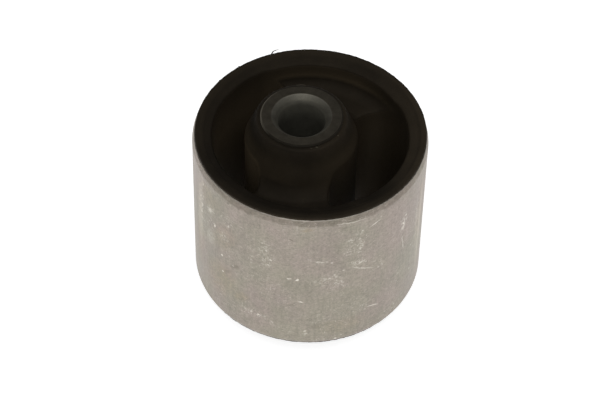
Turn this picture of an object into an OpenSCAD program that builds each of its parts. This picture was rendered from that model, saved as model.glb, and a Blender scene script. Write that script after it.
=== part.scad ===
// Control arm bushing: a bonded rubber bush for a suspension arm.
// The aluminium outer sleeve is pressed into the arm and the steel inner sleeve is bolted
// to the subframe. A moulded rubber body with two kidney voids is bonded to both.
// Millimetres. +Z runs along the bush, the origin is the middle of the outer sleeve,
// and the voids lie on the X axis.

/* [Outer sleeve] */
// Outside diameter, which is pressed into the arm
shell_od = 60; // [54:0.5:72]
// Length of the metal
shell_len = 48; // [38:0.5:54]
// Wall thickness
shell_wall = 2.5; // [1.5:0.1:3.5]
// Height of the lead-in taper at the upper end
lead_len = 1.7; // [0.6:0.1:4]
// How far the lead-in taper narrows the radius
lead_drop = 0.45; // [0.1:0.05:1]
// Height of the taper at the lower end
tail_len = 1; // [0.4:0.1:4]
// How far the lower taper narrows the radius
tail_drop = 0.3; // [0.1:0.05:1]

/* [Inner sleeve] */
// Outside diameter
core_od = 21; // [18:0.5:24]
// Length, which stands out of the outer sleeve at both ends
core_len = 59.5; // [56:0.5:72]
// Bore for the bolt
bore_d = 12.2; // [10:0.1:14.5]
// Width of the countersink around each mouth of the bore
countersink = 1.5; // [0.3:0.1:2]
// Bevel on the outer edge of each end
core_bevel = 0.3; // [0.2:0.1:1]
// How far the inner sleeve sits off the outer sleeve's axis, along -X
core_shift = 2.4; // [0.5:0.1:4]

/* [Rubber body] */
// Thickness of the lining on the outer sleeve, beside the voids
liner = 2.5; // [1.5:0.1:4]
// Thickness of the rubber on the inner sleeve, beside the voids
hub_wall = 3.9; // [2.6:0.1:5]
// Thickness of the film that covers the ends of the outer sleeve
film = 0.5; // [0.2:0.1:1.5]
// Bevel on the outer edge of that film
film_bevel = 0.3; // [0.1:0.05:0.8]
// Width of the sloping land inside the outer sleeve's bore, at the webs
land = 2.9; // [2:0.1:5]
// How far the land falls towards the groove
land_fall = 0.9; // [0.2:0.1:1.5]
// Depth of the groove in the webs, below the film
groove_depth = 7.3; // [4:0.1:9]
// Radius at the outer foot of the groove, against the lining
groove_r = 3.6; // [2:0.1:4]
// Radius of the hub's flare, at the inner foot of the groove
flare_r = 5.5; // [4.5:0.1:6]
// How far the hub's flare dips under the groove's floor, which sets the crease there
flare_dip = 0.4; // [0.2:0.1:1]
// How far the flare's fillet stands off the hub's wall in the voids
flare_out = 0.5; // [0.3:0.1:1]
// Rubber on the inner sleeve at the top of the collar
collar_wall = 1; // [0.6:0.1:2]
// Bare end of the inner sleeve that stands out of the collar
collar_bare = 0.4; // [0.2:0.1:3]
// Half of the near void's span, to the middle of its round end, in degrees
near_span = 47; // [38:1:55]
// Half of the far void's span, to the middle of its round end, in degrees
far_span = 37; // [25:1:45]
// How far the arc of a void's end would reach past the void's walls, so it meets them at a corner
end_bulge = 0.6; // [0.4:0.1:1.5]

/* [Hidden] */
$fn = 128;

// Radii
shell_r = shell_od / 2;
bond_r = shell_r - shell_wall;
core_r = core_od / 2;
bore_r = bore_d / 2;
liner_r = bond_r - liner;
hub_r = core_r + hub_wall;
collar_r = core_r + collar_wall;
land_r = bond_r - land;

// Heights above the middle of the bush
shell_z = shell_len / 2;
core_z = core_len / 2;
film_z = shell_z + film;
floor_z = film_z - groove_depth;
collar_z = core_z - core_bevel - collar_bare;

// Overlap of two halves past the middle, and of a cutter past the face that it cuts
past = 1;

// Centres of the two fillets in the web's section: at the outer lining and at the hub's flare
lining_fillet = [land_r - groove_r, floor_z + groove_r];
flare_fillet = [hub_r + flare_r + flare_out, floor_z - flare_dip + flare_r];

// Where a line from the collar's top edge runs into the flare's fillet. The line is let in a little,
// so the two cross and don't only touch.
flare_bite = 0.05;
flare_reach = norm(flare_fillet - [collar_r, collar_z]);
flare_turn = atan2(collar_z - flare_fillet[1], flare_fillet[0] - collar_r);
flare_angle = flare_turn + asin((flare_r - flare_bite) / flare_reach);
flare_run = sqrt(pow(flare_reach, 2) - pow(flare_r - flare_bite, 2));
flare_touch = [collar_r, collar_z] + flare_run * [cos(flare_angle), -sin(flare_angle)];

// The lining's circle and the hub's circle are not concentric. At the angle a, the middle of the
// gap between them lies this far from the bush's axis, and this is half of the gap.
function gap_reach(a) =
    (pow(liner_r + hub_r, 2) - pow(core_shift, 2)) / (2 * (liner_r + hub_r + core_shift * cos(a)));
function gap_half(a) = liner_r - gap_reach(a);
function polar(r, a) = r * [cos(a), sin(a)];

module on_core_axis() {
    translate([-core_shift, 0, 0]) children();
}

// Turned from tube, with a lead-in taper for pressing and a smaller one at the other end
module outer_sleeve() {
    color("silver")
        rotate_extrude()
            polygon([
                [bond_r, -shell_z],
                [shell_r - tail_drop, -shell_z],
                [shell_r, tail_len - shell_z],
                [shell_r, shell_z - lead_len],
                [shell_r - lead_drop, shell_z],
                [bond_r, shell_z]
            ]);
}

// Thick tube, countersunk and bevelled alike at both ends
module inner_sleeve() {
    color("dimgray")
        on_core_axis()
            rotate_extrude()
                polygon([
                    [bore_r, countersink - core_z],
                    [bore_r + countersink, -core_z],
                    [core_r - core_bevel, -core_z],
                    [core_r, core_bevel - core_z],
                    [core_r, core_z - core_bevel],
                    [core_r - core_bevel, core_z],
                    [bore_r + countersink, core_z],
                    [bore_r, core_z - countersink]
                ]);
}

// Half section of the lining, the webs' floor and the film over one end of the outer sleeve
module lining_section(end_r) {
    difference() {
        polygon([
            [0, -past],
            [bond_r, -past],
            [bond_r, shell_z],
            [end_r, shell_z],
            [end_r - film_bevel, film_z],
            [bond_r, film_z],
            [land_r, film_z - land_fall],
            [0, film_z - land_fall]
        ]);
        translate([-past, floor_z])
            square([lining_fillet[0] + past, groove_depth + past]);
        translate([0, lining_fillet[1]])
            square([land_r, groove_depth + past]);
        translate(lining_fillet)
            circle(groove_r);
    }
}

// Half section of the rubber around the inner sleeve, with its conical flare
module hub_section() {
    difference() {
        polygon([
            [0, -past],
            [flare_fillet[0], -past],
            flare_fillet,
            flare_touch,
            [collar_r, collar_z],
            [0, collar_z]
        ]);
        translate(flare_fillet)
            circle(flare_r);
    }
}

// Plan of a kidney void that is centred on the angle middle and reaches half_span to each side
module void_plan(middle, half_span) {
    sides = [middle - half_span, middle + half_span];
    hub = [-core_shift, 0];
    ends = [for (a = sides) polar(gap_reach(a), a)];
    intersection() {
        difference() {
            circle(liner_r);
            translate(hub) circle(hub_r);
        }
        union() {
            polygon([
                hub,
                ends[0],
                polar(2 * shell_r, sides[0]),
                polar(4 * shell_r, middle),
                polar(2 * shell_r, sides[1]),
                ends[1]
            ]);
            for (i = [0, 1])
                translate(ends[i]) circle(gap_half(sides[i]) + end_bulge);
        }
    }
}

// One moulding: lining, hub and two webs, with a void through it on each side of the hub
module rubber_body() {
    color([0.09, 0.09, 0.085])
        difference() {
            union() {
                rotate_extrude() {
                    lining_section(shell_r - lead_drop);
                    mirror([0, 1]) lining_section(shell_r - tail_drop);
                }
                on_core_axis()
                    rotate_extrude() {
                        hub_section();
                        mirror([0, 1]) hub_section();
                    }
            }
            translate([0, 0, -core_z])
                linear_extrude(core_len) {
                    void_plan(180, near_span);
                    void_plan(0, far_span);
                    translate([-core_shift, 0]) circle(core_r);
                }
        }
}

outer_sleeve();
rubber_body();
inner_sleeve();
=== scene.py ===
"""Control arm bushing: two turned sleeves and a moulded rubber body, on a pale floor.

Pieces are drawn in millimetres and brought to metres when they are done. Sizes come from the frame,
and those that a node's box can't give are the driving sizes of the part's source, under its names.
"""
import math

import bpy
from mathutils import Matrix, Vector


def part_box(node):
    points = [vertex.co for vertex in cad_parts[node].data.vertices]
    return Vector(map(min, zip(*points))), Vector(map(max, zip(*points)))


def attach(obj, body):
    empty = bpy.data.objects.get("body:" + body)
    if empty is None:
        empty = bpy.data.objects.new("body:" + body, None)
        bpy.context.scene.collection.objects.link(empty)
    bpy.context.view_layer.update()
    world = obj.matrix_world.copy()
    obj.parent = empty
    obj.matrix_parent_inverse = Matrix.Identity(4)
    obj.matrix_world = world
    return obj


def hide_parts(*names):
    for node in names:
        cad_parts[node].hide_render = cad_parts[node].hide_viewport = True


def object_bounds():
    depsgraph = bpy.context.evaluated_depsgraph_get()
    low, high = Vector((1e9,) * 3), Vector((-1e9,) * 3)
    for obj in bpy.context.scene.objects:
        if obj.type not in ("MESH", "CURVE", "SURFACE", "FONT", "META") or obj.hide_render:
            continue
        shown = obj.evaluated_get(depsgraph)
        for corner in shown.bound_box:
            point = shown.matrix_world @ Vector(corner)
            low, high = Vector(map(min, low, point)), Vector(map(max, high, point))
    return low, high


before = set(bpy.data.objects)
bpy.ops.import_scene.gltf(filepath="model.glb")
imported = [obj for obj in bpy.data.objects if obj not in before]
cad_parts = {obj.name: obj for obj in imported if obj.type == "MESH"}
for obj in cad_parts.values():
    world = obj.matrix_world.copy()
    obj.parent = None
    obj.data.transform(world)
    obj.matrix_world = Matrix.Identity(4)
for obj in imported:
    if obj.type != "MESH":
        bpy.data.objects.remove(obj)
cad_box = [list(corner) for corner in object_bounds()]

# Sizes from the frame, in millimetres. Its meshes have facets, so a radius is rounded.

MM = 0.001
shell_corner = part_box("outer_sleeve")[1] / MM
core_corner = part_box("inner_sleeve")[1] / MM
rubber_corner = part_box("rubber_body")[1] / MM
SHELL_R = round(shell_corner.x, 1)
SHELL_Z = round(shell_corner.z, 2)
CORE_R = round(core_corner.y, 1)
CORE_Z = round(core_corner.z, 2)
CORE_X = round(core_corner.x - CORE_R, 2)
COLLAR_Z = round(rubber_corner.z, 2)

# Outer sleeve: wall, lead-in taper at the upper end and smaller taper at the lower end
SHELL_WALL = 2.5
LEAD_LEN = 1.7
LEAD_DROP = 0.45
TAIL_LEN = 1.0
TAIL_DROP = 0.3
BOND_R = SHELL_R - SHELL_WALL
TAPER_Z = SHELL_Z - LEAD_LEN

# Inner sleeve: bore, countersunk mouth and bevelled edge
BORE_D = 12.2
COUNTERSINK = 1.5
CORE_BEVEL = 0.3
BORE_R = BORE_D / 2
MOUTH_R = BORE_R + COUNTERSINK
CORNER_R = CORE_R - CORE_BEVEL

# Rubber body: walls in the voids and at the collars' tops
LINER = 2.5
HUB_WALL = 3.9
COLLAR_WALL = 1.0
LINER_R = BOND_R - LINER
HUB_R = CORE_R + HUB_WALL
COLLAR_R = CORE_R + COLLAR_WALL

# Rubber body: film over the sleeve's ends, sloping land and groove in the webs
FILM = 0.5
LAND = 2.9
LAND_FALL = 0.9
GROOVE_DEPTH = 7.3
GROOVE_R = 3.6
FILM_Z = SHELL_Z + FILM
LAND_R = BOND_R - LAND
LAND_Z = FILM_Z - LAND_FALL
FLOOR_Z = FILM_Z - GROOVE_DEPTH

# Rubber body: fillet of the collar's flare, which dips under the groove's floor
FLARE_R = 5.5
FLARE_DIP = 0.4
FLARE_OUT = 0.5
FLARE_X = HUB_R + FLARE_R + FLARE_OUT
FLARE_Z = FLOOR_Z - FLARE_DIP + FLARE_R

# Voids: half of each one's span in degrees, and how far its round ends bulge
NEAR_SPAN = 47
FAR_SPAN = 37
END_BULGE = 0.6

# The film stands up in a lip, just inside the metal's edge. The upper one is a little off the axis.
LIP_RISE = 0.8
LIP_INSET = 0.07
LIP_SHIFT = (0.06, 0.08)
LIP_Z = SHELL_Z + LIP_RISE
LIP_R = SHELL_R - LEAD_DROP - LIP_INSET

# Facets around each turned piece. The rubber's bonded faces take those of the sleeves.
SHELL_STEPS = 288
CORE_STEPS = 192
RUBBER_STEPS = 144
FILM_STEPS = 512

# Steps along the arcs of the rubber's sections, and along a void's ends and walls
FILLET_STEPS = 12
END_STEPS = 24
LINER_ARC_STEPS = 48
HUB_ARC_STEPS = 40

# Cutters run this far past what they cut, rubber past a bonded face that trims it later,
# and points nearer than this are welded
PAST = 5.0
TRIM = 1.0
WELD = 0.0005


# Modelling


def pick(piece):
    """Selects one piece and nothing else."""
    bpy.ops.object.select_all(action="DESELECT")
    piece.select_set(True)
    bpy.context.view_layer.objects.active = piece


def polar(angle, radius, height, axis_x=0.0):
    """A point at an angle in degrees around an upright axis."""
    a = math.radians(angle)
    return (axis_x + radius * math.cos(a), radius * math.sin(a), height)


def arc(middle, radius, start, end, steps):
    """Points of a flat arc, angles in degrees."""
    points = []
    for k in range(steps + 1):
        a = math.radians(start + (end - start) * k / steps)
        points.append(Vector(middle) + radius * Vector((math.cos(a), math.sin(a))))
    return points


def rounded(corners, steps=5):
    """A closed section from corners (radius, height, rounding), with an arc at each rounded corner.

    A further point just past each end of an arc keeps the flats beside it flat when they are smoothed.
    """
    hold = 0.06
    points = []
    for i, (r, z, rounding) in enumerate(corners):
        corner = Vector((r, z))
        if rounding == 0:
            points.append(corner)
            continue
        back = (Vector(corners[i - 1][:2]) - corner).normalized()
        ahead = (Vector(corners[(i + 1) % len(corners)][:2]) - corner).normalized()
        half = back.angle(ahead) / 2
        reach = rounding / math.tan(half)
        middle = corner + (back + ahead).normalized() * rounding / math.sin(half)
        start = corner + back * reach - middle
        turn = math.degrees(start.angle_signed(corner + ahead * reach - middle))
        first = math.degrees(math.atan2(start.y, start.x))
        points.append(corner + back * (reach + hold))
        points += arc(middle, rounding, first, first - turn, steps)
        points.append(corner + ahead * (reach + hold))
    return points


def mirrored(upper):
    """A section from its upper half, which runs outwards: the lower half follows, running back."""
    return upper + [Vector((r, -z)) for r, z in reversed(upper)]


def turned(name, section, steps, axis_x=0.0):
    """Spins a closed section around an upright axis."""
    bpy.ops.object.select_all(action="DESELECT")
    bpy.ops.mesh.primitive_circle_add(vertices=len(section), radius=1)
    piece = bpy.context.object
    piece.name = name
    for vert, (r, z) in zip(piece.data.vertices, section):
        vert.co = (axis_x + r, 0, z)
    bpy.ops.object.mode_set(mode="EDIT")
    bpy.ops.mesh.select_all(action="SELECT")
    bpy.ops.mesh.spin(steps=steps, angle=2 * math.pi, center=(axis_x, 0, 0), axis=(0, 0, 1))
    bpy.ops.mesh.select_all(action="SELECT")
    bpy.ops.mesh.remove_doubles(threshold=WELD)
    bpy.ops.mesh.normals_make_consistent(inside=False)
    bpy.ops.object.mode_set(mode="OBJECT")
    return piece


def prism(name, outline, low, high):
    """Raises a flat outline into a straight block."""
    bpy.ops.object.select_all(action="DESELECT")
    bpy.ops.mesh.primitive_circle_add(vertices=len(outline), radius=1, fill_type="NGON")
    piece = bpy.context.object
    piece.name = name
    for vert, (x, y) in zip(piece.data.vertices, outline):
        vert.co = (x, y, low)
    bpy.ops.object.mode_set(mode="EDIT")
    bpy.ops.mesh.select_all(action="SELECT")
    bpy.ops.mesh.extrude_region_move(TRANSFORM_OT_translate={"value": (0, 0, high - low)})
    bpy.ops.mesh.select_all(action="SELECT")
    bpy.ops.mesh.normals_make_consistent(inside=False)
    bpy.ops.object.mode_set(mode="OBJECT")
    return piece


def rod(radius, vertices, axis_x=0.0):
    """A plain upright cylinder that is longer than the bush."""
    bpy.ops.object.select_all(action="DESELECT")
    bpy.ops.mesh.primitive_cylinder_add(
        vertices=vertices,
        radius=radius,
        depth=2 * (CORE_Z + PAST),
        location=(axis_x, 0, 0),
    )
    return bpy.context.object


def combine(piece, tool, operation):
    """Joins a tool to a piece, cuts it out, or keeps what they share."""
    pick(piece)
    cut = piece.modifiers.new("combine", "BOOLEAN")
    cut.operation = operation
    cut.solver = "MANIFOLD"
    cut.object = tool
    bpy.ops.object.modifier_apply(modifier=cut.name)
    bpy.data.objects.remove(tool)


def finish_piece(piece, node, material, sharp=35):
    """Brings a piece to metres, smooths it and puts it in its node's place."""
    pick(piece)
    piece.scale = (MM, MM, MM)
    bpy.ops.object.transform_apply(location=True, rotation=True, scale=True)
    bpy.ops.object.shade_smooth_by_angle(angle=math.radians(sharp))
    piece.data.materials.clear()
    piece.data.materials.append(material)
    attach(piece, "root")
    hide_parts(node)


# Materials


class Finish:
    """A material whose nodes are laid out by short calls, with places in millimetres."""

    def __init__(self, name):
        self.material = bpy.data.materials.new(name)
        self.material.use_nodes = True
        self.tree = self.material.node_tree
        self.shader = self.tree.nodes["Principled BSDF"]
        self.place = self.dim(self.add("ShaderNodeTexCoord").outputs["Object"], 1 / MM)

    def add(self, kind, **values):
        node = self.tree.nodes.new(kind)
        for key, value in values.items():
            setattr(node, key, value)
        return node

    def put(self, socket, value):
        if isinstance(value, bpy.types.NodeSocket):
            self.tree.links.new(value, socket)
        else:
            socket.default_value = value

    def set(self, name, value):
        self.put(self.shader.inputs[name], value)

    def calc(self, operation, a, b=None):
        node = self.add("ShaderNodeMath", operation=operation)
        self.put(node.inputs[0], a)
        if b is not None:
            self.put(node.inputs[1], b)
        return node.outputs[0]

    def chain(self, operation, values):
        total = values[0]
        for value in values[1:]:
            total = self.calc(operation, total, value)
        return total

    def plus(self, *values):
        return self.chain("ADD", values)

    def times(self, *values):
        return self.chain("MULTIPLY", values)

    def most(self, *values):
        return self.chain("MAXIMUM", values)

    def vector(self, operation, a, b):
        node = self.add("ShaderNodeVectorMath", operation=operation)
        self.put(node.inputs[0], a)
        self.put(node.inputs[1], b)
        return node.outputs[0]

    def dim(self, colour, scale):
        """A colour, or any vector, times a number."""
        node = self.add("ShaderNodeVectorMath", operation="SCALE")
        self.put(node.inputs[0], colour)
        self.put(node.inputs["Scale"], scale)
        return node.outputs[0]

    def moved(self, x, y, z):
        """The place, moved, so that one noise doesn't repeat another."""
        return self.vector("ADD", self.place, (x, y, z))

    def parts(self, vector):
        node = self.add("ShaderNodeSeparateXYZ")
        self.put(node.inputs[0], vector)
        return node.outputs

    def join(self, x, y, z):
        node = self.add("ShaderNodeCombineXYZ")
        for socket, value in zip(node.inputs, (x, y, z)):
            self.put(socket, value)
        return node.outputs[0]

    def reach(self, x, y):
        """Distance from an upright axis."""
        return self.calc("SQRT", self.plus(self.times(x, x), self.times(y, y)))

    def noise(self, place, scale, detail=3.0, roughness=0.55, output=0):
        node = self.add("ShaderNodeTexNoise")
        self.put(node.inputs["Vector"], place)
        self.put(node.inputs["Scale"], scale)
        self.put(node.inputs["Detail"], detail)
        self.put(node.inputs["Roughness"], roughness)
        return node.outputs[output]

    def wander(self, scale, detail, roughness, amount):
        """A small offset that differs from place to place."""
        colour = self.noise(self.place, scale, detail, roughness, output=1)
        return self.dim(self.vector("SUBTRACT", colour, (0.5, 0.5, 0.5)), amount)

    def cells(self, place):
        node = self.add("ShaderNodeTexVoronoi", feature="F1")
        self.put(node.inputs["Vector"], place)
        self.put(node.inputs["Scale"], 1.0)
        return node.outputs

    def ramp(self, value, low, high, start=0.0, end=1.0):
        node = self.add("ShaderNodeMapRange", clamp=True)
        keys = ("Value", "From Min", "From Max", "To Min", "To Max")
        for key, item in zip(keys, (value, low, high, start, end)):
            self.put(node.inputs[key], item)
        return node.outputs["Result"]

    def sway(self, noise, amount):
        """A noise spread evenly to both sides of nought."""
        return self.ramp(noise, 0.3, 0.7, -amount, amount)

    def mix(self, share, a, b):
        node = self.add("ShaderNodeMix", data_type="RGBA")
        self.put(node.inputs["Factor"], share)
        self.put(node.inputs[6], a)
        self.put(node.inputs[7], b)
        return node.outputs[2]

    def relief(self, height, distance, strength, under=None):
        node = self.add("ShaderNodeBump")
        node.inputs["Distance"].default_value = distance
        node.inputs["Strength"].default_value = strength
        self.put(node.inputs["Height"], height)
        if under is not None:
            self.put(node.inputs["Normal"], under)
        return node.outputs[0]


# Outer sleeve


# Handling marks on the sleeve's side, and long upright strokes near both edges that are painted
# highlights.
# Each is a soft stroke: angle around the sleeve in degrees, height, turn in degrees, half length, half
# width and strength.
BRIGHT_MARKS = [
    (-122.3, -0.4, 0, 0.45, 0.45, 1.0),
    (-121.7, -6.6, 0, 0.42, 0.42, 0.9),
    (-127.4, 8.6, 60, 0.8, 0.45, 0.75),
    (-131.5, 12.7, 60, 1.3, 0.8, 0.4),
    (-117.5, 12.8, 70, 0.7, 0.4, 0.45),
    (-138.0, 19.0, 70, 1.0, 0.4, 0.4),
    (-84.3, 1.7, 10, 0.8, 0.25, 0.7),
    (-80.4, 1.6, 0, 0.6, 0.45, 1.0),
    (-78.4, -7.1, 0, 1.1, 0.22, 0.8),
    (-41.9, 18.6, 21, 2.2, 0.22, 0.8),
    (-21.9, 10.2, 88, 3.0, 0.3, 0.5),
    (-22.6, 9.4, 60, 1.6, 1.0, 0.35),
    (-22.0, 3.3, 103, 4.4, 0.3, 0.3),
    (-48.6, 5.6, 20, 1.6, 0.3, 0.5),
    (-48.1, 3.1, -28, 4.8, 0.3, 0.4),
    (-40.9, -14.3, -17, 2.4, 0.25, 0.6),
    (-60.4, -23.0, 0, 0.6, 0.3, 0.8),
    (-76.3, -19.0, 30, 0.7, 0.35, 0.5),
    (-69.6, 8.8, -5, 2.5, 0.25, 0.35),
    (-131.2, 2.6, 75, 4.2, 2.4, 0.12),
    (-139.6, 17.8, 84, 6.8, 0.5, 0.15),
    # Painted highlight: this long upright stroke stands in for reflected light inside the left edge
    (-142.5, 7.0, 90, 17.0, 2.2, 0.15),
    (-54.9, 22.2, -3, 5.6, 0.3, 0.35),
    # Painted highlight: these two long upright strokes stand in for a streak of reflected light inside
    # the right edge
    (-3.5, 0.5, 88, 22.0, 1.7, 0.2),
    (-8.2, 3.0, 92, 16.0, 0.8, 0.1),
]
DARK_MARKS = [
    (-83.7, 16.9, -30, 0.7, 0.35, 0.8),
    (-117.4, 21.6, 0, 0.7, 0.5, 0.7),
    (-113.5, -1.3, 35, 2.6, 1.1, 0.5),
    (-118.0, -5.0, 40, 2.6, 0.7, 0.3),
    (-58.5, 20.8, 0, 1.4, 0.8, 0.35),
    (-70.5, -17.0, 10, 2.6, 1.6, 0.3),
    (-83.0, -8.6, 35, 1.6, 0.35, 0.35),
]
# Patches of frosty scuffing
FROST = [
    (-95.0, 9.0, 90, 7.0, 4.0, 0.6),
    (-69.5, 9.6, 0, 4.2, 1.8, 0.8),
    (-52.0, 13.0, 80, 9.0, 4.0, 0.75),
    (-50.0, 5.6, -10, 3.4, 2.0, 1.0),
    (-63.0, 1.0, -20, 6.0, 4.0, 0.6),
    (-48.0, -12.0, 0, 4.0, 3.0, 0.55),
    (-22.6, 11.5, 90, 5.0, 2.3, 1.0),
    (-131.5, 12.6, 60, 3.0, 1.8, 1.0),
    (-131.5, 2.6, 70, 2.6, 1.5, 1.0),
    (-141.0, 11.0, 90, 14.0, 3.0, 1.0),
    (-104.0, -16.0, -8, 5.0, 1.1, 0.8),
    (-93.5, -17.5, -60, 2.4, 0.9, 0.8),
    (-77.0, -20.3, 40, 2.0, 1.2, 1.0),
    (-124.0, 6.0, 45, 6.0, 2.5, 0.5),
    (-118.0, 15.0, 30, 5.0, 3.0, 0.4),
    (-8.0, 4.0, 90, 15.0, 1.6, 0.6),
    (-36.0, 2.0, -60, 5.0, 0.8, 0.5),
]
STAINS = [
    (-76.0, 21.0, 12, 2.2, 0.8, 0.8),
    (-121.0, 7.0, 60, 8.0, 5.0, 0.5),
    (-110.0, -12.0, 40, 4.0, 2.4, 0.6),
    (-124.0, -10.0, 60, 10.0, 7.0, 0.6),
    (-135.0, 17.0, 0, 8.0, 5.0, 0.5),
    (-58.0, -18.0, 0, 8.0, 4.0, 0.4),
    (-4.0, 0.0, 90, 24.0, 3.5, 0.6),
    (-144.0, 4.0, 90, 22.0, 4.0, 0.6),
]


class SleeveFinish(Finish):
    """A finish on the outer sleeve, whose side is unrolled: along the rim, then up."""

    def __init__(self, name):
        super().__init__(name)
        x, y, self.z = self.parts(self.place)
        self.along = self.times(self.calc("ARCTAN2", y, x), SHELL_R)
        self.side = self.unrolled(1.0, 1.0, 0.0)
        self.grain = self.noise(self.place, 2.0, 3.0, 0.65)
        self.fleck = self.noise(self.moved(9, 3, 5), 1.0, 4.0, 0.7)
        self.blotch = self.noise(self.place, 0.11, 4.0, 0.6)
        self.smear = self.noise(self.moved(11, 0, 4), 0.32, 3.0, 0.6)
        self.speck = self.noise(self.moved(2, 17, 31), 1.9, 2.0, 0.75)
        self.level = self.noise(self.unrolled(0.45, 1.9, 0.0), 1.5, 4.0, 0.6)
        self.upright = self.noise(self.unrolled(1.9, 0.45, 8.0), 1.5, 4.0, 0.6)

    def unrolled(self, along, up, layer):
        return self.join(self.times(self.along, along), self.times(self.z, up), layer)


def stroke_group():
    """Nodes for one soft-edged stroke on the unrolled side."""
    group = bpy.data.node_groups.new("soft_stroke", "ShaderNodeTree")
    vector_kind = "NodeSocketVector"
    float_kind = "NodeSocketFloat"
    sockets = {"Place": vector_kind, "Middle": vector_kind, "Turn": float_kind, "Reach": vector_kind}
    for name, kind in sockets.items():
        group.interface.new_socket(name, in_out="INPUT", socket_type=kind)
    group.interface.new_socket("Mark", in_out="OUTPUT", socket_type=float_kind)
    enter = group.nodes.new("NodeGroupInput")
    leave = group.nodes.new("NodeGroupOutput")
    shift = group.nodes.new("ShaderNodeVectorMath")
    shift.operation = "SUBTRACT"
    turn = group.nodes.new("ShaderNodeVectorRotate")
    turn.rotation_type = "Z_AXIS"
    spread = group.nodes.new("ShaderNodeVectorMath")
    spread.operation = "DIVIDE"
    far = group.nodes.new("ShaderNodeVectorMath")
    far.operation = "LENGTH"
    fade = group.nodes.new("ShaderNodeMapRange")
    fade.interpolation_type = "SMOOTHSTEP"
    fade.inputs["From Min"].default_value = 0.35
    fade.inputs["From Max"].default_value = 1.0
    fade.inputs["To Min"].default_value = 1.0
    fade.inputs["To Max"].default_value = 0.0
    link = group.links.new
    link(enter.outputs["Place"], shift.inputs[0])
    link(enter.outputs["Middle"], shift.inputs[1])
    link(shift.outputs[0], turn.inputs["Vector"])
    link(enter.outputs["Turn"], turn.inputs["Angle"])
    link(turn.outputs[0], spread.inputs[0])
    link(enter.outputs["Reach"], spread.inputs[1])
    link(spread.outputs[0], far.inputs[0])
    link(far.outputs["Value"], fade.inputs["Value"])
    link(fade.outputs["Result"], leave.inputs["Mark"])
    return group


def strokes(f, place, marks, group):
    """The strongest of a set of strokes at each place."""
    shares = []
    for angle, height, turn, length, width, strength in marks:
        node = f.add("ShaderNodeGroup", node_tree=group)
        f.put(node.inputs["Place"], place)
        node.inputs["Middle"].default_value = (math.radians(angle) * SHELL_R, height, 0)
        node.inputs["Turn"].default_value = math.radians(-turn)
        node.inputs["Reach"].default_value = (length, width, 1)
        shares.append(f.times(node.outputs[0], strength))
    return f.most(*shares)


def bare_skin(f):
    """Warm grey metal with fine grain, soft blotches and faint drawn lines along the tube."""
    drawn = f.noise(f.unrolled(1.0, 0.05, 3.0), 1.3, 3.0, 0.6)
    mottle = f.plus(
        f.sway(f.grain, 0.16),
        f.sway(f.fleck, 0.135),
        f.sway(f.blotch, 0.11),
        f.sway(drawn, 0.05),
    )
    pink = (0.33, 0.284, 0.252, 1)
    green = (0.303, 0.279, 0.23, 1)
    tint = f.noise(f.moved(40, 7, 0), 0.08, 3.0, 0.55)
    return f.dim(f.mix(f.ramp(tint, 0.38, 0.62), pink, green), f.plus(mottle, 1.0))


def taper_painted_shade(f, skin):
    """The lead-in taper is painted darker than the side, as painted shade, with an uneven border."""
    taper_shade_tint = (0.74, 0.73, 0.71)
    fade = 0.3
    border = f.plus(f.z, f.sway(f.fleck, 0.6), f.sway(f.smear, 0.7))
    share = f.times(f.ramp(border, TAPER_Z - fade, TAPER_Z + fade), f.ramp(f.smear, 0.35, 0.6, 0.55, 1.0))
    return f.mix(share, skin, f.vector("MULTIPLY", skin, taper_shade_tint))


def scuffs(f):
    """Streaks in loose patches all round the sleeve."""
    patch = f.ramp(f.noise(f.moved(0, 60, 20), 0.1, 2.0), 0.45, 0.6)
    return f.times(f.most(f.ramp(f.level, 0.58, 0.68), f.ramp(f.upright, 0.6, 0.7)), patch)


def nicks(f):
    """Small dots scattered all round the sleeve."""
    cell = f.cells(f.unrolled(0.3, 0.55, 0.0))
    chosen = f.ramp(f.parts(cell["Color"])[0], 0.82, 0.88)
    return f.times(f.ramp(cell["Distance"], 0.04, 0.14, 1.0, 0.0), chosen)


def frost(f, group):
    """Crisp specks and streaks inside the frosty patches, whose borders are torn."""
    strewn = f.vector("ADD", f.side, f.wander(0.22, 4.0, 0.65, 7.0))
    torn = f.ramp(f.noise(f.moved(5, 5, 50), 0.5, 3.0, 0.6), 0.36, 0.54, 0.15, 1.0)
    streaks = f.most(
        f.ramp(f.speck, 0.54, 0.68),
        f.ramp(f.level, 0.54, 0.66),
        f.ramp(f.upright, 0.56, 0.68),
    )
    cell = f.cells(f.unrolled(0.75, 0.9, 4.0))
    chosen = f.ramp(f.parts(cell["Color"])[1], 0.45, 0.6)
    dots = f.times(f.ramp(cell["Distance"], 0.16, 0.34, 1.0, 0.0), chosen)
    return f.times(strokes(f, strewn, FROST, group), f.most(f.times(streaks, torn), dots))


def bright_share(f, loose, group):
    """Where the metal is bright: rubbed marks and nicks, scuffs and frost, painted highlights in the long
    upright strokes near the edges, and a painted highlight along the upper rim.
    """
    marks = f.most(strokes(f, loose, BRIGHT_MARKS, group), f.times(nicks(f), 0.5))
    marks = f.times(marks, f.ramp(f.fleck, 0.36, 0.5, 0.5, 1.0))
    # Painted highlight: a brighter band along the metal's upper edge
    rim = f.times(f.ramp(f.z, SHELL_Z - 0.25, SHELL_Z - 0.1), f.ramp(f.smear, 0.35, 0.6, 0.05, 0.32))
    return f.most(marks, f.times(scuffs(f), 0.32), f.times(frost(f, group), 0.75), rim)


def dark_share(f, loose, group):
    """Where the metal is dirty: single marks and fine pits."""
    pits = f.times(f.ramp(f.speck, 0.3, 0.4, 1.0, 0.0), f.ramp(f.blotch, 0.4, 0.6, 0.1, 0.4))
    marks = f.most(strokes(f, loose, DARK_MARKS, group), pits)
    return f.times(marks, f.ramp(f.fleck, 0.35, 0.6, 0.6, 1.0))


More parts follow.
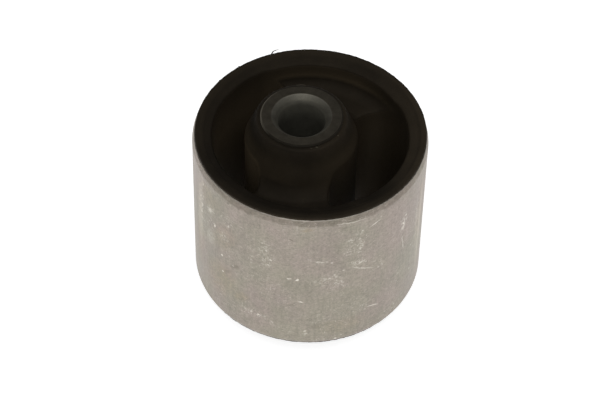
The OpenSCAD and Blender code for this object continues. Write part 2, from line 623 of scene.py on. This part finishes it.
def satin_aluminium():
    """Bare aluminium, stained, dirtied and rubbed bright by handling, with painted highlights near its
    edges and along its upper rim, and painted shade on its lead-in taper.
    """
    f = SleeveFinish("satin_aluminium")
    brown_tint = (1.03, 0.965, 0.85)
    dirt = (0.15, 0.128, 0.098, 1)
    rubbed_metal_and_highlight = (0.87, 0.82, 0.735, 1)
    group = stroke_group()
    loose = f.vector("ADD", f.side, f.wander(0.8, 2.0, 0.55, 0.9))
    bright = bright_share(f, loose, group)
    stain = f.times(strokes(f, loose, STAINS, group), f.ramp(f.fleck, 0.35, 0.6, 0.3, 1.0))
    skin = taper_painted_shade(f, bare_skin(f))
    skin = f.mix(stain, skin, f.vector("MULTIPLY", skin, brown_tint))
    skin = f.mix(dark_share(f, loose, group), skin, dirt)
    f.set("Base Color", f.mix(bright, skin, rubbed_metal_and_highlight))
    f.set("Metallic", 1.0)
    f.set("Roughness", f.plus(f.ramp(f.blotch, 0.3, 0.7, 0.42, 0.52), f.sway(f.grain, 0.03)))
    grained = f.relief(f.grain, 0.03 * MM, 0.5)
    f.set("Normal", f.relief(bright, 0.04 * MM, 0.4, under=grained))
    return f.material


def build_outer_sleeve():
    """Turned from tube, with soft edges and a soft bend where each taper starts."""
    inner_edge = 0.15
    tail_edge = 0.25
    tail_bend = 0.5
    lead_bend = 0.6
    lead_edge = 0.28
    section = rounded(
        [
            (BOND_R, -SHELL_Z, inner_edge),
            (SHELL_R - TAIL_DROP, -SHELL_Z, tail_edge),
            (SHELL_R, TAIL_LEN - SHELL_Z, tail_bend),
            (SHELL_R, TAPER_Z, lead_bend),
            (SHELL_R - LEAD_DROP, SHELL_Z, lead_edge),
            (BOND_R, SHELL_Z, inner_edge),
        ]
    )
    piece = turned("outer_tube", section, SHELL_STEPS)
    finish_piece(piece, "outer_sleeve", satin_aluminium())


# Inner sleeve


def cut_metal_and_painted_shade(f, radius, height):
    """Bore and countersunk mouth. The bore is painted darker inwards as painted shade, then painted
    lighter deep down as painted light, where little light falls; the mouth is painted lighter towards its
    top as a painted highlight.
    """
    bore_tint = (1.0, 0.95, 0.76)
    mouth_foot = (0.115, 0.109, 0.088, 1)
    mouth_top = (0.15, 0.142, 0.118, 1)
    # Painted shade: the bore's colour darkens with depth; painted light lifts it again deeper down
    light = f.ramp(height, CORE_Z - 7.25, CORE_Z - COUNTERSINK, 0.06, 0.14)
    deep_painted_light = f.ramp(height, CORE_Z - 15.5, CORE_Z - 6.0, 1.8, 1.0)
    bore = f.dim(bore_tint, f.times(light, deep_painted_light))
    # Painted highlight: the cut mouth is lighter towards its top edge
    mouth = f.mix(f.ramp(radius, BORE_R + 0.2, MOUTH_R - 0.1), mouth_foot, mouth_top)
    return f.mix(f.ramp(radius, BORE_R + 0.01, BORE_R + 0.2), bore, mouth)


def dark_steel():
    """Dark coated steel with a cut bore, with painted shade, painted light and a painted highlight in the
    bore and mouth, and a darker outer corner with a painted highlight on its left.
    """
    f = Finish("dark_steel")
    coat = (0.078, 0.069, 0.053, 1)
    dark_corner = (0.04, 0.0345, 0.0265, 1)
    corner_painted_highlight = (0.16, 0.145, 0.115, 1)
    x, y, z = f.parts(f.moved(-CORE_X, 0.0, 0.0))
    radius = f.reach(x, y)
    cloud = f.noise(f.place, 0.5, 4.0, 0.6)
    grain = f.noise(f.place, 3.0, 3.0, 0.6)
    tone = f.plus(f.ramp(cloud, 0.3, 0.7, 0.86, 1.14), f.sway(grain, 0.08))
    cut = cut_metal_and_painted_shade(f, radius, f.calc("ABSOLUTE", z))
    face = f.dim(f.mix(f.ramp(radius, MOUTH_R - 0.1, MOUTH_R + 0.2), cut, coat), tone)
    # The corner is darker all round, and lighter on the left as a painted highlight
    corner = f.mix(f.ramp(f.times(x, -1.0), 6.0, 9.5), dark_corner, corner_painted_highlight)
    on_corner = f.ramp(radius, CORNER_R - 0.15, CORNER_R)
    f.set("Base Color", f.mix(on_corner, face, corner))
    f.set("Metallic", f.ramp(radius, BORE_R + 0.01, BORE_R + 0.4, 0.45, 1.0))
    in_mouth = f.ramp(radius, MOUTH_R - 0.2, MOUTH_R + 0.2, 0.14, 0.0)
    f.set("Roughness", f.plus(f.ramp(cloud, 0.3, 0.7, 0.38, 0.5), in_mouth, f.times(on_corner, 0.45)))
    lines = f.noise(f.join(f.times(radius, 5.0), f.times(z, 5.0), 0.0), 1.0, 2.0)
    f.set("Normal", f.relief(lines, 0.02 * MM, 0.4))
    return f.material


def build_inner_sleeve():
    """Thick tube, alike at both ends."""
    bevel_edge = 0.1
    mouth_edge = 0.35
    mouth_foot = 1.6
    end = [
        (CORE_R, CORE_Z - CORE_BEVEL, bevel_edge),
        (CORNER_R, CORE_Z, bevel_edge),
        (MOUTH_R, CORE_Z, mouth_edge),
        (BORE_R, CORE_Z - COUNTERSINK, mouth_foot),
    ]
    section = rounded([(r, -z, rounding) for r, z, rounding in reversed(end)] + end)
    piece = turned("inner_tube", section, CORE_STEPS, CORE_X)
    finish_piece(piece, "inner_sleeve", dark_steel())


# Rubber body


class RubberFinish(Finish):
    """A finish on the rubber body, which knows how far a place lies from both axes and the middle."""

    def __init__(self, name):
        super().__init__(name)
        self.x, self.y, z = self.parts(self.place)
        self.height = self.calc("ABSOLUTE", z)
        self.radius = self.reach(self.x, self.y)
        self.hub_x = self.plus(self.x, -CORE_X)
        self.hub_radius = self.reach(self.hub_x, self.y)
        self.cloud = self.noise(self.place, 0.18, 4.0, 0.6)
        self.fine = self.noise(self.place, 1.6, 4.0, 0.65)


def web_painted_light_and_shade(f):
    """Painted light and shade on the webs, the land and the film: painted darker at the front and painted
    lighter at the right.
    """
    right_x = (10.0, 26.0)
    right_y = (-15.0, -3.0)
    front_y = (-17.0, -8.0)
    film_front_y = (-18.0, -8.0)
    front_left = (-42.0, -26.0)
    right = f.times(f.ramp(f.x, *right_x), f.ramp(f.y, *right_y))
    inside_film = f.ramp(f.radius, BOND_R - 0.5, BOND_R + 0.3, 1.0, 0.0)
    on_land = f.times(f.ramp(f.radius, LAND_R - 3.1, LAND_R), inside_film)
    land = f.plus(1.0, f.times(on_land, f.plus(f.ramp(right, 0.0, 1.0, 0.66, 1.4), -1.0)))
    film = f.times(
        f.ramp(right, 0.0, 1.0, 1.2, 1.8),
        f.ramp(f.y, *film_front_y, 0.8, 1.0),
        f.ramp(f.plus(f.x, f.y), *front_left, 0.7, 1.0),
        f.ramp(f.radius, BOND_R - 0.3, BOND_R + 0.7),
    )
    return f.most(f.times(land, f.ramp(f.y, *front_y, 0.62, 1.06)), film)


def painted_light_share(f):
    """Painted light: a lighter colour on the upright walls in the voids, and on the hub's upper flanks.
    """
    deep = 12.0
    flank_z = (13.0, 19.0)
    slope = f.calc("ABSOLUTE", f.parts(f.add("ShaderNodeNewGeometry").outputs["Normal"])[2])
    upright = f.ramp(slope, 0.15, 0.45, 1.0, 0.0)
    off_hub = f.ramp(f.hub_radius, HUB_R + 1.1, HUB_R + 2.6)
    on_hub = f.ramp(off_hub, 0.0, 1.0, 1.0, 0.0)
    # Painted light on the lining walls, strongest deep in the voids
    lining = f.times(
        off_hub,
        f.ramp(f.height, deep, SHELL_Z - 0.5, 1.0, 0.2),
        f.ramp(f.x, 6.0, 16.0, 1.0, 0.32),
        f.plus(f.ramp(f.y, 0.0, 10.0, 1.0, 0.5), f.ramp(f.y, 17.0, 22.0, 0.0, 0.6)),
    )
    hub = f.times(on_hub, f.ramp(f.x, -10.0, 5.0, 0.6, 0.1))
    sideways = f.ramp(f.calc("DIVIDE", f.calc("ABSOLUTE", f.hub_x), f.hub_radius), 0.3, 0.9)
    flank = f.times(on_hub, f.ramp(f.height, *flank_z, 0.0, 0.18), sideways)
    return f.most(f.times(upright, f.most(lining, hub)), flank)


def collar_painted_shade_and_highlight(f, tone):
    """Painted shade darkens the collar, most of all on its left, and a painted highlight makes the torn
    flash on its top edge paler.
    """
    flash_painted_highlight = (0.05, 0.044, 0.033, 1)
    left_x = (-11.0, -4.0)
    collar = f.times(f.ramp(f.height, SHELL_Z, SHELL_Z + 2.5), f.ramp(f.hub_radius, 13.0, 16.0, 1.0, 0.0))
    tone = f.mix(collar, tone, f.dim(tone, f.ramp(f.hub_x, *left_x, 0.3, 0.58)))
    return f.mix(f.ramp(f.height, COLLAR_Z + 0.05, COLLAR_Z + 0.15), tone, flash_painted_highlight)


def moulded_rubber():
    """Black rubber with a little dust, and painted light and shade: painted light in the voids and on the
    hub, painted light and shade on the webs, painted shade on the collar and a painted highlight on the
    flash.
    """
    f = RubberFinish("moulded_rubber")
    deep_black = (0.0128, 0.0099, 0.0063, 1)
    worn_black = (0.0154, 0.0119, 0.0077, 1)
    painted_light_tone = (0.09, 0.068, 0.041, 1)
    dust = (0.03, 0.0235, 0.015, 1)
    black = f.mix(f.ramp(f.cloud, 0.3, 0.7), deep_black, worn_black)
    tone = f.mix(painted_light_share(f), f.dim(black, web_painted_light_and_shade(f)), painted_light_tone)
    dusty = f.times(f.ramp(f.cloud, 0.45, 0.75), f.ramp(f.fine, 0.4, 0.7), 0.5)
    f.set("Base Color", f.mix(dusty, collar_painted_shade_and_highlight(f, tone), dust))
    f.set("Roughness", f.ramp(f.fine, 0.3, 0.7, 0.58, 0.72))
    f.set("Specular IOR Level", 0.15)
    f.set("Specular Tint", (1.0, 0.86, 0.68, 1))
    f.set("Normal", f.relief(f.fine, 0.05 * MM, 0.35))
    return f.material


def web_section():
    """Lining, sloping land and grooved webs, from end to end. The bonded faces are trimmed later."""
    upper = [Vector((BORE_R, FLOOR_Z))]
    upper += arc((LAND_R - GROOVE_R, FLOOR_Z + GROOVE_R), GROOVE_R, -90, 0, FILLET_STEPS)
    upper += [Vector((LAND_R, LAND_Z)), Vector((BOND_R, FILM_Z)), Vector((BOND_R + TRIM, FILM_Z))]
    return mirrored(upper)


def hub_section():
    """Rubber around the inner sleeve, with a conical collar at each end that flares into the groove."""
    run = Vector((FLARE_X - COLLAR_R, COLLAR_Z - FLARE_Z))
    touch = 180 - math.degrees(math.atan2(run.y, run.x) - math.acos(FLARE_R / run.length))
    upper = [Vector((MOUTH_R, COLLAR_Z)), Vector((COLLAR_R, COLLAR_Z))]
    upper += arc((FLARE_X, FLARE_Z), FLARE_R, touch, 270, FILLET_STEPS)
    return mirrored(upper)


def kidney(name, middle, half_span):
    """A block that cuts one void: it runs between the lining and the hub, with round ends."""
    hub = Vector((CORE_X, 0))
    walls = LINER_R + HUB_R

    def gap(angle):
        """Where the lining and the hub lie across from each other, at an angle around the bush."""
        a = math.radians(angle)
        outer = LINER_R * Vector((math.cos(a), math.sin(a)))
        between = (walls**2 - CORE_X**2) / (2 * (walls - CORE_X * math.cos(a)))
        inner = hub + HUB_R * (between / LINER_R * outer - hub).normalized()
        return outer, inner

    def round_end(angle, way):
        outer, inner = gap(angle)
        across = (outer - inner) / 2
        along = Vector((-across.y, across.x)).normalized() * way * (across.length + END_BULGE)
        turns = [math.pi * k / END_STEPS for k in range(1, END_STEPS)]
        return [(outer + inner) / 2 + across * math.cos(t) + along * math.sin(t) for t in turns]

    low = middle - half_span
    high = middle + half_span
    first, last = [math.degrees(math.atan2(*(gap(a)[1] - hub).yx)) for a in (low, high)]
    if first > last:
        last += 360
    outline = arc((0, 0), LINER_R, low, high, LINER_ARC_STEPS)
    outline += round_end(high, 1)
    outline += arc(hub, HUB_R, last, first, HUB_ARC_STEPS)
    outline += round_end(low, -1)[::-1]
    return prism(name, outline, -CORE_Z - PAST, CORE_Z + PAST)


def film_ring():
    """The skin of rubber over one end of the outer sleeve, with an uneven outer edge."""
    foot_out = BOND_R - 0.2
    foot_z = SHELL_Z - 0.6
    ragged_from = LIP_R - 0.8
    ragged_width = 0.6
    section = rounded(
        [
            # Foot, let into the lining
            (BOND_R - 0.9, foot_z, 0),
            (foot_out, foot_z, 0),
            (foot_out, SHELL_Z, 0),
            # Lip, over the end of the metal
            (LIP_R, SHELL_Z, 0.06),
            (LIP_R - 0.03, LIP_Z - 0.28, 0.12),
            (LIP_R - 0.3, LIP_Z, 0.2),
            # Fall towards the land
            (BOND_R + 1.2, LIP_Z - 0.02, 0.8),
            (BOND_R - 0.3, FILM_Z - 0.05, 0.8),
            (BOND_R - 0.75, SHELL_Z + 0.05, 0),
        ],
        steps=3,
    )
    ring = turned("film", section, FILM_STEPS)
    edge = ring.vertex_groups.new(name="edge")
    for vert in ring.data.vertices:
        share = (math.hypot(vert.co.x, vert.co.y) - ragged_from) / ragged_width
        if share > 0:
            edge.add([vert.index], min(share, 1), "REPLACE")
    cloud = bpy.data.textures.new("film_edge", "CLOUDS")
    cloud.noise_scale = 0.9
    pick(ring)
    rag = ring.modifiers.new("rag", "DISPLACE")
    rag.texture = cloud
    rag.texture_coords = "LOCAL"
    rag.direction = "NORMAL"
    rag.strength = 0.22
    rag.mid_level = 0.6
    rag.vertex_group = edge.name
    bpy.ops.object.modifier_apply(modifier=rag.name)
    return ring


def reshape(piece, operator, **values):
    """Moves or scales a whole piece in edit mode."""
    pick(piece)
    bpy.ops.object.mode_set(mode="EDIT")
    bpy.ops.mesh.select_all(action="SELECT")
    operator(**values)
    bpy.ops.mesh.normals_make_consistent(inside=False)
    bpy.ops.object.mode_set(mode="OBJECT")


def thread(path, width):
    """A torn thread of flash along a path, with its radius at each point."""
    bpy.ops.object.select_all(action="DESELECT")
    bpy.ops.mesh.primitive_circle_add(vertices=8, radius=width[0], fill_type="NGON", location=path[0])
    strand = bpy.context.object
    strand.name = "thread"
    bpy.ops.object.transform_apply(location=True, rotation=True, scale=True)
    bpy.ops.object.mode_set(mode="EDIT")
    bpy.ops.mesh.select_all(action="SELECT")
    for before, point, was, now in zip(path, path[1:], width, width[1:]):
        step = Vector(point) - Vector(before)
        bpy.ops.mesh.extrude_region_move(TRANSFORM_OT_translate={"value": step})
        bpy.ops.transform.resize(value=(now / was,) * 3, center_override=point)
    bpy.ops.mesh.select_all(action="SELECT")
    bpy.ops.mesh.normals_make_consistent(inside=False)
    bpy.ops.object.mode_set(mode="OBJECT")
    return strand


def crumb(place, size):
    """A small lump of flash."""
    bpy.ops.object.select_all(action="DESELECT")
    bpy.ops.mesh.primitive_ico_sphere_add(subdivisions=3, radius=size, location=place)
    lump = bpy.context.object
    lump.name = "crumb"
    lump.scale = (1.25, 0.9, 0.6)
    bpy.ops.object.transform_apply(location=True, rotation=True, scale=True)
    return lump


def flash():
    """A thread that stands up at the back of the rim, one along the collar, and crumbs on both."""
    # Angle, distance inside the lip's edge, height above the sleeve's end and radius
    standing = [
        (125.8, 0.18, 0.2, 0.19),
        (125.5, 0.24, 0.9, 0.18),
        (124.9, 0.35, 1.6, 0.16),
        (123.7, 0.56, 2.05, 0.14),
        (122.2, 0.8, 2.3, 0.07),
    ]
    # Angle, height above the collar's top edge and radius
    lying = [
        (98, 0.0, 0.1),
        (102, 0.17, 0.13),
        (107, 0.25, 0.14),
        (112, 0.15, 0.12),
        (115, -0.05, 0.08),
    ]
    lying_r = COLLAR_R - 0.35
    # Angle and size, then where the crumbs lie
    lip_crumbs = [(144.7, 0.2), (158.6, 0.2)]
    lip_spot = (LIP_R - 0.25, LIP_Z - 0.05)
    collar_crumbs = [(-19.0, 0.22), (-54.5, 0.3), (-62.0, 0.2)]
    collar_spot = (COLLAR_R - 0.5, COLLAR_Z + 0.03)
    pieces = [
        thread(
            [polar(a, LIP_R - inwards, SHELL_Z + up) for a, inwards, up, _ in standing],
            [radius for *_, radius in standing],
        ),
        thread(
            [polar(a, lying_r, COLLAR_Z + up, CORE_X) for a, up, _ in lying],
            [radius for *_, radius in lying],
        ),
    ]
    pieces += [crumb(polar(a, *lip_spot), size) for a, size in lip_crumbs]
    pieces += [crumb(polar(a, *collar_spot, CORE_X), size) for a, size in collar_crumbs]
    return pieces


def soften(body):
    """The mould leaves soft edges: skins the block finely, relaxes it and thins the mesh again."""
    pick(body)
    skin = body.modifiers.new("skin", "REMESH")
    skin.mode = "VOXEL"
    skin.voxel_size = 0.42
    relax = body.modifiers.new("relax", "SMOOTH")
    relax.factor = 0.5
    relax.iterations = 5
    thin = body.modifiers.new("thin", "DECIMATE")
    thin.ratio = 0.45
    for step in ("skin", "relax", "thin"):
        bpy.ops.object.modifier_apply(modifier=step)


def build_rubber_body():
    body = turned("rubber_moulding", web_section(), RUBBER_STEPS)
    combine(body, turned("hub", hub_section(), RUBBER_STEPS, CORE_X), "UNION")
    combine(body, kidney("near_void", 180, NEAR_SPAN), "DIFFERENCE")
    combine(body, kidney("far_void", 0, FAR_SPAN), "DIFFERENCE")
    soften(body)
    # Bonded faces are true cylinders
    combine(body, rod(CORE_R, CORE_STEPS, CORE_X), "DIFFERENCE")
    combine(body, rod(BOND_R, SHELL_STEPS), "INTERSECT")
    upper = film_ring()
    reshape(upper, bpy.ops.transform.translate, value=(*LIP_SHIFT, 0))
    combine(body, upper, "UNION")
    lower = film_ring()
    reshape(lower, bpy.ops.transform.resize, value=(1, 1, -1), center_override=(0, 0, 0))
    combine(body, lower, "UNION")
    scraps = flash()
    bpy.ops.object.select_all(action="DESELECT")
    for piece in scraps + [body]:
        piece.select_set(True)
    bpy.context.view_layer.objects.active = body
    bpy.ops.object.join()
    finish_piece(body, "rubber_body", moulded_rubber(), sharp=50)


# Stage: distances and light sizes in metres


def pale_floor():
    """A white sheet that glows like a light table, but not under the bush, where the unlit patch is a
    painted shadow.
    """
    bpy.ops.object.select_all(action="DESELECT")
    bpy.ops.mesh.primitive_plane_add(size=8, location=(0, 0, cad_box[0][2]))
    floor = bpy.context.object
    floor.name = "floor"
    bpy.ops.object.transform_apply(location=True, rotation=True, scale=True)
    f = Finish("pale_floor")
    f.set("Base Color", f.mix(f.noise(f.place, 0.02), (0.58, 0.58, 0.58, 1), (0.6, 0.6, 0.6, 1)))
    f.set("Roughness", 0.9)
    f.set("Specular IOR Level", 0.2)
    dark_r = 20.5
    lit_r = 25.5
    glow = 0.82
    # The unlit patch is a painted shadow, set a little towards the back
    x, y = f.parts(f.moved(0.5, -3.0, 0.0))[:2]
    f.set("Emission Color", (1, 1, 1, 1))
    f.set("Emission Strength", f.ramp(f.reach(x, y), dark_r, lit_r, 0.0, glow))
    floor.data.materials.append(f.material)


def soft_light(name, azimuth, elevation, distance, size, power):
    """A square softbox that points at the bush; azimuth 0 stands towards -Y."""
    a = math.radians(azimuth)
    e = math.radians(elevation)
    back = Vector((math.sin(a) * math.cos(e), -math.cos(a) * math.cos(e), math.sin(e)))
    light = bpy.data.lights.new(name, "AREA")
    light.shape = "SQUARE"
    light.size = size
    light.energy = power
    stand = bpy.data.objects.new(name, light)
    bpy.context.scene.collection.objects.link(stand)
    stand.location = back * distance
    stand.rotation_euler = back.to_track_quat("Z", "Y").to_euler()


def lights():
    soft_light("overhead", azimuth=14, elevation=76, distance=1.2, size=1.1, power=5.0)
    soft_light("front_fill", azimuth=10, elevation=40, distance=1.4, size=0.7, power=3.2)
    soft_light("left_side", azimuth=-72, elevation=48, distance=1.4, size=0.6, power=0.8)
    soft_light("right_side", azimuth=100, elevation=48, distance=1.4, size=0.6, power=1.0)
    world = bpy.data.worlds.new("dim_room")
    world.use_nodes = True
    world.node_tree.nodes["Background"].inputs["Color"].default_value = (0.22, 0.22, 0.22, 1)
    bpy.context.scene.world = world


def camera():
    """Stands where the photograph was taken from."""
    lens = bpy.data.cameras.new("camera")
    lens.lens = 132.96
    lens.sensor_width = 36
    lens.clip_start = 0.01
    stand = bpy.data.objects.new("camera", lens)
    bpy.context.scene.collection.objects.link(stand)
    stand.location = (0.093894, -0.372092, 0.433951)
    stand.rotation_euler = [math.radians(a) for a in (41.3623, -0.8790, 15.4982)]
    bpy.context.scene.camera = stand
    bpy.context.scene.view_settings.view_transform = "Standard"


build_outer_sleeve()
build_inner_sleeve()
build_rubber_body()
pale_floor()
lights()
camera()
